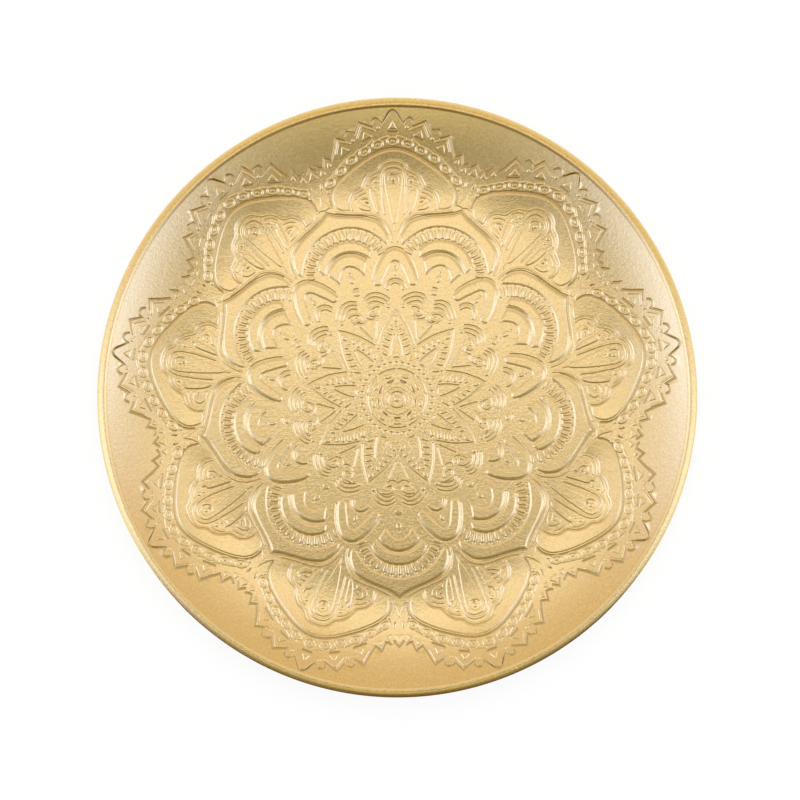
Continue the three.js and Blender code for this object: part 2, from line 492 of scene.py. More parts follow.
# Where a point of the drawing came out on the casting: the middle slipped as a whole, and the border
# by a shift, a pull and an oval that depend on the direction, dying away towards the crest
def as_cast(point):
    r = point.length
    if r < 0.001:
        return point + MIDDLE_SLIP
    s, c = point.x / r, point.y / r
    border_slip = Vector((
        0.11 + 0.38 * s + 0.23 * c + 0.42 * (s * s - c * c) - 1.52 * s * c,
        -0.06 + 0.23 * s + 0.17 * c + 0.78 * (s * s - c * c) + 0.80 * s * c,
    ))
    slip = MIDDLE_SLIP.lerp(border_slip, eased(r, BORDER_FROM, BORDER_TO))
    return point + slip * (1 - TRUE_SHARE * eased(r, TRUE_FROM, CREST_RADIUS))


# Sets a drawn relief on the dish: turned and shifted as the pattern plate was, and lifted to the face
def lay_on_dish(bm):
    bmesh.ops.recalc_face_normals(bm, faces=bm.faces[:])
    turn = Matrix.Rotation(PATTERN_TURN, 2)
    for v in bm.verts:
        spot = as_cast(turn @ v.co.to_2d()) * PATTERN_SIZE + PATTERN_SHIFT
        r = spot.length
        share = FULL_RELIEF + (BORDER_RELIEF - FULL_RELIEF) * eased(r, BORDER_FROM, TRUE_FROM)
        v.co = (spot.x, spot.y, share * v.co.z + face_height(min(r, CREST_RADIUS)))
    to_metres(bm)


def finish_relief(bm, name):
    lay_on_dish(bm)
    for f in bm.faces:
        f.normal_update()
        f.smooth = f.normal.z > UPRIGHT
    piece = make_piece(bm, name)
    piece.data.materials.append(GOLD_FACE)
    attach(piece, "root")
    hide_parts("tray_dish")


# All lines that are sunk in the dish are drawn here section by section, and cut in one go at the end
sunk = bmesh.new()


def sink_line(points, width=1.4, gap=0.6):
    raise_form(sunk, pen_stroke(points, width, gap), SUNK_EDGE)


def sink_pair(points, width=1.4, gap=0.6):
    sink_line(points, width, gap)
    sink_line(flipped(points), width, gap)


hub = bmesh.new()
raise_form(hub, in_valley(leaf(0, 12.0, 4.8, 2.3)), FINE_EDGE)
raise_form(hub, in_valley(leaf(0, 9.7, 5.4, 1.7, bow=-0.5)), FINE_EDGE)
repeat_round(hub)
raise_form(hub, round_spot(0, 0, 1.5), FINE_EDGE)
raise_ring(hub, 3.4, 4.8, FINE_EDGE, 72)
raise_ring(hub, 5.7, 8.0, LOW_EDGE, 90)
finish_relief(hub, "relief_hub")
HUB_ARC_RADIUS = 14.9
HUB_ARC = [math.radians(a) for a in (-17.0, -11.5, -6.0, 0.0, 6.0, 11.5, 17.0)]
sink_line(in_valley([(HUB_ARC_RADIUS * math.sin(a), HUB_ARC_RADIUS * math.cos(a)) for a in HUB_ARC]))
DIMPLE_CIRCLE = 17.8
DIMPLE_RADIUS = 1.25
DIMPLE_STEP = 10.0
for k in range(4):
    a = math.radians(DIMPLE_STEP * k)
    dimple = round_spot(DIMPLE_CIRCLE * math.sin(a), DIMPLE_CIRCLE * math.cos(a), DIMPLE_RADIUS, 12)
    raise_form(sunk, dimple, SUNK_EDGE)

# The star round the hub: nine pointed petals drawn in a sunk line. In each, two sunk lines and an arc
# draw a dart at its foot, a bead and an oval stand in its tip, and slanting bars along both sides.
star = bmesh.new()
STAR_LINE = [(8.95, 27.4), (8.1, 30.2), (7.1, 33.2), (5.8, 36.3), (4.2, 39.0), (2.1, 42.4), (0, 45.0)]
sink_line(mirrored(STAR_LINE), gap=1.0)
DART = [(2.95, 21.6), (2.6, 24.5), (1.9, 28.0), (0.72, 31.9)]
sink_pair(DART, 1.3)
sink_line([(-1.4, 20.6), (0, 20.9), (1.4, 20.6)], 1.3)
raise_form(star, leaf(0, 40.7, 4.2, 2.8, 90), FINE_EDGE)
raise_form(star, round_spot(0, 37.0, 0.9), LINE_EDGE)
for x, y, length, width, turn in (
    (6.05, 23.7, 4.4, 2.4, 42), (5.4, 27.5, 4.4, 2.4, 29), (4.5, 30.8, 4.2, 2.4, 29),
    (3.35, 33.6, 3.8, 2.3, 38), (2.3, 36.2, 3.0, 2.0, 56),
):
    raise_pair(star, leaf(x, y, length, width, turn, point=0.33), FINE_EDGE)
raise_form(star, in_valley(outline([(0, 23.0), (1.5, 20.4), (-1.5, 20.4)])), FINE_EDGE)
repeat_round(star)
finish_relief(star, "relief_star")
raise_form(sunk, in_valley(round_spot(0, 26.2, 1.0)), SUNK_EDGE)

# Kites drawn in sunk lines between the points of the star, and over each a pair of scrolls that curl
# in to the kite. Three sunk lines with a bead at their end run along the back of each scroll.
scrolls = bmesh.new()
KITE = [(4.7, 40.2), (3.6, 37.8), (1.7, 33.8), (0.8, 31.9)]
for half in (KITE, flipped(KITE)):
    sink_line(in_valley(half), 1.3)
sink_line(in_valley(mirrored([(5.9, 43.3), (4.5, 42.0), (3.0, 41.5), (1.4, 42.0), (0, 43.1)])), gap=1.0)
SCROLL_LINES = (
    [(2.0, 52.6), (4.6, 53.9), (7.2, 54.0), (9.6, 53.3), (11.8, 51.7), (13.4, 49.9), (14.4, 48.2)],
    [(2.4, 50.8), (4.6, 52.0), (6.9, 52.0), (8.8, 51.3), (10.6, 50.0), (11.9, 48.7), (12.9, 47.1)],
    [(3.0, 49.1), (4.6, 49.9), (6.4, 49.9), (8.2, 49.1), (9.8, 47.8), (10.8, 46.7)],
)
CURL = [
    (8.2, 47.1), (6.4, 47.6), (4.4, 47.3), (3.0, 46.5), (2.3, 45.4), (2.7, 44.2), (3.8, 43.5),
    (5.2, 43.7),
]
TAIL = [(6.2, 42.9), (6.9, 44.0), (7.5, 45.3)]
for side in (1, -1):
    for line in SCROLL_LINES:
        sink_line(in_valley([(side * x, y) for x, y in line]))
    raise_form(scrolls, in_valley(round_spot(side * 12.5, 45.4, 1.1)), FINE_EDGE, 0.05)
    raise_form(scrolls, in_valley(pen_stroke([(side * x, y) for x, y in CURL], 1.6)), FINE_EDGE)
    raise_form(scrolls, in_valley(round_spot(side * 4.6, 45.9, 0.9)), LINE_EDGE)
    raise_form(scrolls, in_valley(pen_stroke([(side * x, y) for x, y in TAIL], 1.2)), LINE_EDGE)
repeat_round(scrolls)
finish_relief(scrolls, "relief_scrolls")

# Nine horseshoe arches on the axes of the teeth, each with a sunk line round it, a crescent under it
# and a lens inside it. A tall and a broad lens stand in each gap between the arches.
arches = bmesh.new()
SHOE = [
    (0, 69.4), (1.4, 68.9), (2.3, 67.9), (3.3, 66.0), (4.2, 64.0), (5.2, 62.0), (6.1, 60.0),
    (6.7, 58.4), (7.4, 57.4), (8.9, 57.0), (10.4, 57.3), (11.1, 58.4), (10.9, 60.0), (10.5, 62.0),
    (9.9, 64.0), (9.2, 66.0), (8.3, 68.0), (7.2, 70.1), (5.9, 72.2), (4.0, 74.4), (2.0, 75.4),
    (0, 75.8),
]
raise_form(arches, outline(mirrored(SHOE)), WIDE_EDGE)
SHOE_LINE = [
    (11.4, 60.3), (10.7, 63.5), (9.7, 66.6), (8.3, 69.8), (6.6, 72.6), (4.4, 75.0), (2.2, 76.1),
    (0, 76.5),
]
sink_line(mirrored(SHOE_LINE))
MOON = [(3.9, 55.6), (3.3, 57.1), (2.0, 58.5), (0, 59.2)]
raise_form(arches, pen_stroke(mirrored(MOON), 1.8), FINE_EDGE)
sink_line(mirrored([(5.1, 55.9), (4.3, 58.0), (2.6, 59.8), (0, 60.6)]))
raise_form(arches, leaf(0, 63.9, 3.8, 2.1, 90), FINE_EDGE)
raise_form(sunk, round_spot(0, 66.4, 0.75, 10), SUNK_EDGE)
raise_form(arches, in_valley(leaf(0, 64.0, 4.6, 2.9, 90)), FINE_EDGE)
raise_form(sunk, in_valley(round_spot(0, 67.2, 0.8, 10)), SUNK_EDGE)
raise_form(arches, in_valley(leaf(0, 56.7, 4.3, 2.9)), FINE_EDGE)
sink_line(in_valley([(-1.3, 58.8), (0, 59.1), (1.3, 58.8)]), 1.3)
repeat_round(arches)
finish_relief(arches, "relief_arches")

# Fans in the gaps between the arches: a broad inner one, a narrow outer one, and a ladder of short
# bars that stands like a pleated collar round them.
fans = bmesh.new()
INNER_FAN = [
    (0, 70.75), (2.4, 69.9), (4.4, 68.0), (5.7, 65.9), (6.6, 63.7), (8.3, 66.9), (10.5, 70.3),
    (8.9, 72.6), (6.6, 74.6), (3.6, 76.1), (0, 76.7),
]
raise_form(fans, in_valley(outline(mirrored(INNER_FAN))), WIDE_EDGE)
INNER_FAN_LINE = [(10.9, 71.2), (9.3, 73.1), (6.9, 75.1), (3.8, 76.7), (0, 77.35)]
sink_line(in_valley(mirrored(INNER_FAN_LINE)))
OUTER_FAN = [
    (0, 78.0), (4.0, 77.4), (7.6, 75.7), (10.4, 73.2), (12.4, 71.0), (14.3, 74.4), (13.0, 77.0),
    (10.6, 79.8), (7.4, 82.0), (3.8, 83.2), (0, 83.6),
]
raise_form(fans, in_valley(outline(mirrored(OUTER_FAN))), WIDE_EDGE)
OUTER_FAN_LINE = [(14.4, 75.6), (13.4, 77.4), (11.0, 80.2), (7.65, 82.55), (3.9, 83.8), (0, 84.2)]
sink_line(in_valley(mirrored(OUTER_FAN_LINE)))
COLLAR_MIDDLE = 66.8
COLLAR_STEP = 10.6


def collar_spot(r, turn):
    a = math.radians(turn)
    return r * math.sin(a), COLLAR_MIDDLE + r * math.cos(a)


for k in range(-7, 8):
    turn = COLLAR_STEP * k
    raise_form(fans, in_valley(leaf(*collar_spot(19.7, turn), 5.0, 2.0, 90 - turn, point=0.35)), FINE_EDGE)
for k in range(-6, 7):
    raise_form(sunk, in_valley(round_spot(*collar_spot(22.8, COLLAR_STEP * k), 0.95, 12)), SUNK_EDGE)
for k in range(-7, 7):
    turn = COLLAR_STEP * (k + 0.5)
    raise_form(fans, in_valley(leaf(*collar_spot(20.2, turn), 4.4, 0.9, 90 - turn, point=0.3)), LOW_EDGE)
repeat_round(fans)
finish_relief(fans, "relief_fans")

# Nine ogee petals over the fans, cast broad and flat in one with the dish. Each has a sunk line round
# its outside and a low hem beyond that.
petals = bmesh.new()
PETAL = [
    (0, 90.2), (6.0, 89.5), (12.0, 87.1), (16.8, 83.3), (20.2, 78.9), (22.9, 74.2), (24.5, 76.3),
    (24.9, 79.0), (24.3, 83.0), (22.6, 86.8), (19.0, 89.9), (14.3, 92.5), (8.6, 94.9), (3.4, 97.3),
    (0, 99.6),
]
raise_form(petals, in_valley(outline(mirrored(PETAL))), WIDE_EDGE)
PETAL_LINE = [
    (25.5, 79.4), (24.9, 83.2), (23.1, 87.2), (19.4, 90.4), (14.6, 93.05), (8.85, 95.45),
    (3.75, 97.85), (0, 100.3),
]
sink_line(in_valley(mirrored(PETAL_LINE)), gap=1.2)
HEM = [
    (1.4, 79.6), (1.7, 82.2), (3.0, 86.0), (5.5, 89.8), (9.5, 92.6), (16.0, 93.6), (24.0, 93.9),
    (29.5, 94.6),
]
raise_pair(petals, pen_stroke(HEM, 1.3), LINE_EDGE)
cut_across(petals, 6.0)
repeat_round(petals)
finish_relief(petals, "relief_petals")

# Nine palmettes on the axes of the teeth: a drop with an eye, a band round it, and on each side
# a leaf, a curled bud and fine lines.
palmettes = bmesh.new()
DROP = [
    (0, 88.2), (0.9, 88.5), (1.4, 89.9), (2.2, 94.0), (3.3, 99.5), (4.2, 105.0), (4.75, 109.0),
    (4.9, 111.3), (4.4, 113.8), (2.6, 115.5), (0, 115.9),
]
EYE = 2.5
EYE_MIDDLE = 110.8
half_drop = pen_line(DROP, gap=0.8)
half_drop += [Vector((EYE * math.sin(a), EYE_MIDDLE + EYE * math.cos(a)))
              for a in [math.pi * k / 8 for k in range(9)]]
drop_faces = []
for side in (1, -1):
    drop_edge = [palmettes.verts.new((side * p.x, p.y, -BURIED)) for p in half_drop]
    drop_faces.append(palmettes.faces.new(drop_edge))
bmesh.ops.remove_doubles(palmettes, verts=palmettes.verts[:], dist=0.001)
raise_faces(palmettes, drop_faces, FINE_EDGE)
raise_form(palmettes, pen_stroke([(0, 85.0), (0, 88.6)], 1.2), LINE_EDGE)
raise_form(palmettes, round_spot(0, 111.1, 1.2), FINE_EDGE)
raise_form(sunk, round_spot(0, 109.2, 0.75, 10), SUNK_EDGE)
BAND = [(6.2, 108.0), (6.1, 111.5), (5.5, 114.0), (4.2, 115.9), (2.2, 117.0), (0, 117.3)]
raise_form(palmettes, pen_stroke(mirrored(BAND), 1.7), FINE_EDGE)
SIDE_LINE = [(6.15, 107.4), (6.0, 103.0), (5.5, 98.0), (4.9, 93.6)]
raise_pair(palmettes, pen_stroke(SIDE_LINE, 1.4), FINE_EDGE)
LEAF = [
    (11.4, 107.6), (12.4, 107.4), (12.6, 105.5), (12.1, 102.2), (11.3, 99.0), (10.2, 96.0),
    (8.8, 93.8), (7.2, 92.6), (7.0, 94.2), (7.5, 97.2), (8.1, 101.0), (8.7, 104.0), (9.4, 105.4),
    (10.7, 105.7),
]
raise_pair(palmettes, outline(LEAF), BOLD_EDGE)
raise_pair(palmettes, round_spot(9.0, 110.2, 1.2), FINE_EDGE)
raise_pair(palmettes, round_spot(9.0, 107.5, 0.8), FINE_EDGE)
LEAF_BROW = [(8.4, 112.8), (10.1, 112.2), (11.7, 111.1), (12.9, 109.6), (13.4, 108.5)]
raise_pair(palmettes, pen_stroke(LEAF_BROW, 1.2), LINE_EDGE)
BUD_BROW = [(14.3, 104.4), (16.0, 103.9), (18.0, 102.8), (19.4, 101.4)]
raise_pair(palmettes, pen_stroke(BUD_BROW, 1.2), LINE_EDGE)
BUD = [
    (13.0, 102.2), (15.1, 102.3), (17.0, 101.3), (18.3, 99.8), (18.7, 98.3), (18.0, 96.8),
    (16.5, 95.6), (14.0, 95.0), (11.2, 94.9), (12.1, 97.3), (14.2, 97.8), (15.8, 98.8),
    (16.2, 100.2), (15.0, 100.9), (12.8, 100.7),
]
raise_pair(palmettes, outline(BUD), FINE_EDGE)
raise_pair(palmettes, leaf(13.8, 99.4, 2.8, 1.3, 10), LINE_EDGE)
cut_across(palmettes, 4.0)
repeat_round(palmettes)
finish_relief(palmettes, "relief_palmettes")

# The plain arched field behind each palmette, highest along its outer arch and sinking to the palmette.
# A fine raised line with three scallops on each side runs round the palmette inside it.
niches = bmesh.new()
NICHE = [
    (0, 120.5), (3.4, 120.1), (6.1, 118.5), (7.5, 116.4), (8.9, 115.3), (11.4, 114.1),
    (13.8, 111.7), (15.3, 108.9), (16.0, 107.1), (17.5, 106.0), (20.0, 104.7), (21.8, 102.3),
    (22.55, 99.5), (22.2, 96.9), (21.9, 95.4), (26.0, 95.2), (28.5, 96.1), (30.2, 98.3),
    (31.1, 101.0), (31.1, 103.5), (30.4, 105.8), (28.4, 108.8), (24.5, 112.8), (20.5, 116.1),
    (16.4, 119.0), (12.4, 121.6), (8.2, 123.8), (4.0, 125.2), (0, 125.7),
]
SCALLOPS = [
    (21.0, 95.6), (21.6, 97.0), (21.9, 99.4), (21.2, 102.0), (19.6, 104.2), (17.2, 105.4),
    (15.5, 106.6), (14.7, 108.6), (13.3, 111.3), (11.0, 113.6), (8.6, 114.7), (7.0, 116.0),
    (5.6, 118.1), (3.2, 119.5), (0, 119.9),
]
NICHE_FOOT = 0.45
NICHE_SLOPE = 0.06
raise_form(niches, outline(mirrored(NICHE)), BOLD_EDGE)
cut_across(niches, 2.0)
scallop_line = pen_line(mirrored(SCALLOPS))
for v in niches.verts:
    if v.co.z > 0.0:
        away = min((v.co.to_2d() - p).length for p in scallop_line)
        v.co.z *= min(1.0, NICHE_FOOT + NICHE_SLOPE * away)
raise_form(niches, pen_stroke(mirrored(SCALLOPS), 1.2, 1.2), LINE_EDGE)
FRAME = [
    (31.5, 98.4), (32.2, 101.0), (32.2, 103.7), (31.4, 106.2), (29.3, 109.4), (25.3, 113.5),
    (21.2, 116.9), (17.0, 119.8), (12.9, 122.5), (8.6, 124.7), (4.2, 126.2), (0, 126.7),
]
sink_line(mirrored(FRAME), 1.25)
repeat_round(niches)
finish_relief(niches, "relief_niches")

# A chain of oval links over each arch, every link a raised ring with a seed in it, and short brows
# over the gaps. Where two chains meet stand a spear head, two leaves and two beads.
chain = bmesh.new()
LINKS = [
    (0, 129.9, 0), (7.7, 128.4, -19), (14.4, 125.0, -30), (21.1, 120.8, -38), (26.7, 115.5, -46),
    (32.1, 109.4, -50),
]
LINK_LENGTH = 2.7
LINK_WIDTH = 1.85
LINK_WIRE = 0.72
LINK_STEPS = 22


def link_ring(bm, x, y, turn):
    spin = Matrix.Rotation(math.radians(turn), 2)
    loops = []
    for grow in (-LINK_WIRE, LINK_WIRE):
        loop = []
        for k in range(LINK_STEPS):
            a = math.tau * k / LINK_STEPS
            oval = Vector(((LINK_LENGTH + grow) * math.cos(a), (LINK_WIDTH + grow) * math.sin(a)))
            p = Vector((x, y)) + spin @ oval
            loop.append(bm.verts.new((p.x, p.y, -BURIED)))
        loops += [bm.edges.new((loop[k - 1], loop[k])) for k in range(LINK_STEPS)]
    raise_faces(bm, bmesh.ops.bridge_loops(bm, edges=loops)["faces"], FINE_EDGE)


for x, y, turn in LINKS:
    for side in ((1, -1) if x else (1,)):
        link_ring(chain, side * x, y, side * turn)
        raise_form(chain, leaf(side * x, y, 2.6, 1.5, side * (turn - 8), point=0.6), FINE_EDGE, -0.05)
BROWS = ([(2.4, 132.4), (4.5, 131.8), (6.6, 131.0)], [(10.2, 130.3), (11.7, 129.0), (13.1, 127.8)],
         [(17.2, 125.9), (18.7, 124.5), (20.3, 123.1)], [(23.9, 121.3), (25.1, 119.8), (26.5, 118.3)],
         [(29.4, 115.2), (30.6, 113.6), (31.8, 112.1)])
for brow in BROWS:
    raise_pair(chain, pen_stroke(brow, 1.5), FINE_EDGE)
SPEAR = [(0, 110.6), (1.1, 107.0), (2.3, 104.4), (5.2, 101.3), (2.2, 101.9), (0, 101.4)]
raise_form(chain, in_valley(outline(mirrored(SPEAR))), FINE_EDGE)
for side in (1, -1):
    raise_form(chain, in_valley(leaf(side * 2.2, 113.7, 4.2, 1.6, 90 - side * 12)), FINE_EDGE)
    raise_form(chain, in_valley(round_spot(side * 4.9, 110.0, 1.1)), FINE_EDGE)
    raise_form(sunk, in_valley(leaf(side * 4.6, 112.9, 3.4, 1.7, 90)), SUNK_EDGE)
cut_across(chain, 5.0)
repeat_round(chain)
finish_relief(chain, "relief_chain")

# The toothed border: sunk zigzag lines round the teeth and the round lobes between them, with a small
# raised triangle in each tooth, a sunk bar under it, a low line round it and a bead beside each lobe.
teeth = bmesh.new()
TOP_TOOTH = [
    (10.5, 138.6), (10.2, 139.9), (9.4, 140.8), (8.2, 141.15), (7.0, 140.8), (6.2, 139.8),
    (5.6, 138.3), (4.1, 140.6), (2.7, 142.7), (1.4, 144.3), (0, 145.0),
]
SECOND_TOOTH = [
    (10.3, 136.7), (13.6, 137.9), (17.0, 139.2), (18.1, 136.8), (19.3, 133.6), (20.3, 135.0),
    (21.8, 135.4), (23.2, 135.0), (23.9, 134.1), (24.2, 132.9),
]
THIRD_TOOTH = [
    (24.2, 130.5), (26.5, 131.0), (28.9, 131.6), (29.4, 129.2), (29.9, 126.2), (30.6, 123.4),
    (31.3, 120.9), (33.2, 121.2), (35.1, 121.9), (35.3, 119.9), (35.5, 117.3), (37.1, 117.0),
    (38.6, 117.4),
]
sink_line(mirrored(TOP_TOOTH), gap=1.2)
sink_pair(SECOND_TOOTH, gap=1.2)
sink_pair(THIRD_TOOTH, gap=1.2)
sink_line(in_valley(mirrored([(2.3, 121.9), (0, 124.5)])), gap=1.2)
raise_form(teeth, outline([(0, 140.3), (2.6, 135.9), (-2.6, 135.9)]), BOLD_EDGE)
sink_line([(-2.5, 134.5), (2.5, 134.5)], 1.3)
TRIANGLES = ([(14.8, 134.9), (10.0, 132.6), (15.6, 130.7)], [(26.2, 127.6), (21.8, 126.2), (26.6, 122.7)],
             [(33.9, 120.1), (30.9, 118.7), (33.5, 116.6)], [(37.3, 116.1), (33.9, 114.7), (37.0, 112.2)])
for triangle in TRIANGLES:
    raise_pair(teeth, outline(triangle), FINE_EDGE)
raise_form(teeth, in_valley(outline([(0, 122.8), (2.8, 118.4), (-2.8, 118.4)])), FINE_EDGE)
sink_pair([(11.0, 131.6), (15.5, 129.5)], 1.3)
sink_pair([(21.4, 125.2), (26.6, 121.1)], 1.3)
for x, y in ((7.2, 136.6), (20.1, 130.6)):
    raise_pair(teeth, round_spot(x, y, 1.0), FINE_EDGE)
INNER_LINES = ([(9.2, 135.4), (12.5, 136.5), (15.7, 137.5), (16.8, 135.0), (18.0, 131.6)],
               [(21.8, 129.2), (24.7, 129.6), (27.7, 130.1), (28.2, 127.4), (28.9, 123.9)])
for line in INNER_LINES:
    raise_pair(teeth, pen_stroke(line, 1.3, 1.3), LINE_EDGE)
cut_across(teeth, 5.0)
repeat_round(teeth)
finish_relief(teeth, "relief_teeth")

# The sunk lines and dimples of the whole mandala, as the pattern's tool cut them into the face of the dish.
# In the border their faces take a darker gold: painted shade for the shade that gathers in the narrow
# grooves.
SHARP_ANGLE = 20.0
repeat_round(sunk)
bmesh.ops.scale(sunk, vec=(1, 1, -1), verts=sunk.verts[:])
lay_on_dish(sunk)
bmesh.ops.recalc_face_normals(sunk, faces=sunk.faces[:])
# Sunk faces in the border get the darker gold of painted shade
for f in sunk.faces:
    in_border = f.calc_center_median().to_2d().length > 0.001 * BORDER_FROM
    f.material_index = ON_PAINTED_SHADE if in_border else ON_FACE
tool = make_piece(sunk, "sunk_lines")
for gold in GOLDS:
    tool.data.materials.append(gold)
cut = tray_body.modifiers.new("sunk_lines", "BOOLEAN")
cut.operation = "DIFFERENCE"
cut.solver = "MANIFOLD"
cut.object = tool
with_cuts = tray_body.evaluated_get(bpy.context.evaluated_depsgraph_get())
tray_body.data = bpy.data.meshes.new_from_object(with_cuts)
tray_body.modifiers.clear()
bpy.data.objects.remove(tool)
tray_body.data.set_sharp_from_angle(angle=math.radians(SHARP_ANGLE))

# Four discs of dark felt stuck under the floor, which keep the metal off the table. They are die-cut,
# so their rims are a little rounded.
PAD_PLACES = ("front_left", "front_right", "back_left", "back_right")
PAD_ROUNDING = 0.0004
PAD_SIDES = 72
FELT = bpy.data.materials.new("pad_felt")
FELT.use_nodes = True
tree = FELT.node_tree
cloth = tree.nodes["Principled BSDF"]
cloth.inputs["Roughness"].default_value = 0.95
cloth.inputs["Sheen Weight"].default_value = 0.35
place = tree.nodes.new("ShaderNodeTexCoord")
fibre = tree.nodes.new("ShaderNodeTexNoise")
fibre.inputs["Scale"].default_value = 1800.0
fibre.inputs["Detail"].default_value = 6.0
fibre.inputs["Distortion"].default_value = 1.5
link(tree, place.outputs["Object"], fibre.inputs["Vector"])
dye = tree.nodes.new("ShaderNodeValToRGB")
dye.color_ramp.elements[0].color = (0.03, 0.027, 0.024, 1.0)
dye.color_ramp.elements[1].color = (0.085, 0.078, 0.07, 1.0)
link(tree, fibre.outputs["Fac"], dye.inputs["Fac"])
link(tree, dye.outputs["Color"], cloth.inputs["Base Color"])
nap = tree.nodes.new("ShaderNodeBump")
nap.inputs["Distance"].default_value = 0.0003
link(tree, fibre.outputs["Fac"], nap.inputs["Height"])
link(tree, nap.outputs["Normal"], cloth.inputs["Normal"])
for place_name in PAD_PLACES:
    low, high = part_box("foot_pad_" + place_name)
    centre = (low + high) / 2
    pad = bmesh.new()
    bmesh.ops.create_circle(pad, cap_ends=True, segments=PAD_SIDES, radius=(high.x - low.x) / 2)
    lifted = bmesh.ops.extrude_face_region(pad, geom=pad.faces[:])["geom"]
    bmesh.ops.translate(
        pad, vec=(0, 0, high.z - low.z), verts=[v for v in lifted if isinstance(v, bmesh.types.BMVert)])
    bmesh.ops.recalc_face_normals(pad, faces=pad.faces[:])
    rims = [e for e in pad.edges if abs(e.verts[0].co.z - e.verts[1].co.z) < 1e-6]
    bmesh.ops.bevel(
        pad, geom=rims, offset=PAD_ROUNDING, offset_type="OFFSET", affect="EDGES",
        segments=3, profile=0.5, material=-1)
    bmesh.ops.translate(pad, vec=(centre.x, centre.y, low.z), verts=pad.verts[:])
    for f in pad.faces:
        f.smooth = len(f.verts) == 4
    felt_pad = make_piece(pad, "felt_pad_" + place_name)
    felt_pad.data.materials.append(FELT)
    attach(felt_pad, "root")
    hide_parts("foot_pad_" + place_name)

# Clear double-sided adhesive film between each pad and the metal, die-cut a little smaller than the felt.
# It has a pale, slightly hazy look where it shows at the edge.
FILM = bpy.data.materials.new("adhesive_film")
FILM.use_nodes = True
tree = FILM.node_tree
resin = tree.nodes["Principled BSDF"]
resin.inputs["Roughness"].default_value = 0.4
place = tree.nodes.new("ShaderNodeTexCoord")
haze = tree.nodes.new("ShaderNodeTexNoise")
haze.inputs["Scale"].default_value = 320.0
haze.inputs["Detail"].default_value = 3.0
link(tree, place.outputs["Object"], haze.inputs["Vector"])
tint = tree.nodes.new("ShaderNodeValToRGB")
tint.color_ramp.elements[0].color = (0.62, 0.6, 0.53, 1.0)
tint.color_ramp.elements[1].color = (0.76, 0.74, 0.68, 1.0)
link(tree, haze.outputs["Fac"], tint.inputs["Fac"])
link(tree, tint.outputs["Color"], resin.inputs["Base Color"])
for place_name in PAD_PLACES:
    film_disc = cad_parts["pad_film_" + place_name]
    film_disc.data.materials.clear()
    film_disc.data.materials.append(FILM)

# The table it is photographed on: one large white sheet of paper, bright enough to look white to the
# camera and in the metal, and still taking a soft shadow.
SHEET_HALF = 4.0
SHEET_GLOW = 0.9
scene = bpy.context.scene
scene.view_settings.view_transform = "Standard"
world = bpy.data.worlds.new("white_room")
scene.world = world
world.use_nodes = True
world.node_tree.nodes["Background"].inputs["Color"].default_value = (1, 1, 1, 1)
world.node_tree.nodes["Background"].inputs["Strength"].default_value = 1.0

SHEET = bpy.data.materials.new("white_sheet")
SHEET.use_nodes = True
tree = SHEET.node_tree
tree.nodes.remove(tree.nodes["Principled BSDF"])
paper = tree.nodes.new("ShaderNodeBsdfDiffuse")
paper.inputs["Color"].default_value = (0.9, 0.9, 0.9, 1)
glow = tree.nodes.new("ShaderNodeEmission")
path = tree.nodes.new("ShaderNodeLightPath")
seen = tree.nodes.new("ShaderNodeMath")
seen.operation = "MAXIMUM"
link(tree, path.outputs["Is Camera Ray"], seen.inputs[0])
link(tree, path.outputs["Is Glossy Ray"], seen.inputs[1])
share = tree.nodes.new("ShaderNodeMath")
share.operation = "MULTIPLY"
share.inputs[1].default_value = SHEET_GLOW
link(tree, seen.outputs[0], share.inputs[0])
blend = tree.nodes.new("ShaderNodeMixShader")
link(tree, share.outputs[0], blend.inputs["Fac"])
link(tree, paper.outputs[0], blend.inputs[1])
link(tree, glow.outputs[0], blend.inputs[2])
link(tree, blend.outputs[0], tree.nodes["Material Output"].inputs["Surface"])
sheet = bmesh.new()
bmesh.ops.create_grid(sheet, x_segments=1, y_segments=1, size=SHEET_HALF)
floor = make_piece(sheet, "white_sheet")
floor.data.materials.append(SHEET)

# A light tent of cloth over the table, which only the metal mirrors: bright overhead, dim in front
# with a lighter gap straight ahead, warm low down behind, and cool at the sides.
TENT_RADIUS = 1.6
FRONT_TURN = 179.0
GAP_TURN = 180.0
BACK_TURN = 4.0
TENT = bpy.data.materials.new("tent_cloth")
TENT.use_nodes = True
tree = TENT.node_tree
tree.nodes.remove(tree.nodes["Principled BSDF"])
place = tree.nodes.new("ShaderNodeTexCoord")
way = tree.nodes.new("ShaderNodeVectorMath")
way.operation = "NORMALIZE"
link(tree, place.outputs["Object"], way.inputs[0])
level = tree.nodes.new("ShaderNodeVectorMath")
level.operation = "MULTIPLY"
level.inputs[1].default_value = (1, 1, 0)
link(tree, way.outputs["Vector"], level.inputs[0])
slant = tree.nodes.new("ShaderNodeVectorMath")
slant.operation = "LENGTH"
link(tree, level.outputs["Vector"], slant.inputs[0])
aim = tree.nodes.new("ShaderNodeVectorMath")
aim.operation = "NORMALIZE"
link(tree, level.outputs["Vector"], aim.inputs[0])


# How the cloth's brightness changes from overhead to the table, on one side
def cloth_ramp(stops):
    ramp = tree.nodes.new("ShaderNodeValToRGB")
    ramp.color_ramp.interpolation = "LINEAR"
    while len(ramp.color_ramp.elements) < len(stops):
        ramp.color_ramp.elements.new(0.5)
    for element, (place_at, colour) in zip(ramp.color_ramp.elements, stops):
        element.position = place_at
        element.color = (*colour, 1.0)
    link(tree, slant.outputs["Value"], ramp.inputs["Fac"])
    return ramp.outputs["Color"]


def share_between(value, none_at, all_at):
    share = tree.nodes.new("ShaderNodeMapRange")
    share.interpolation_type = "SMOOTHSTEP"
    share.inputs["From Min"].default_value = none_at
    share.inputs["From Max"].default_value = all_at
    link(tree, value, share.inputs["Value"])
    return share.outputs["Result"]


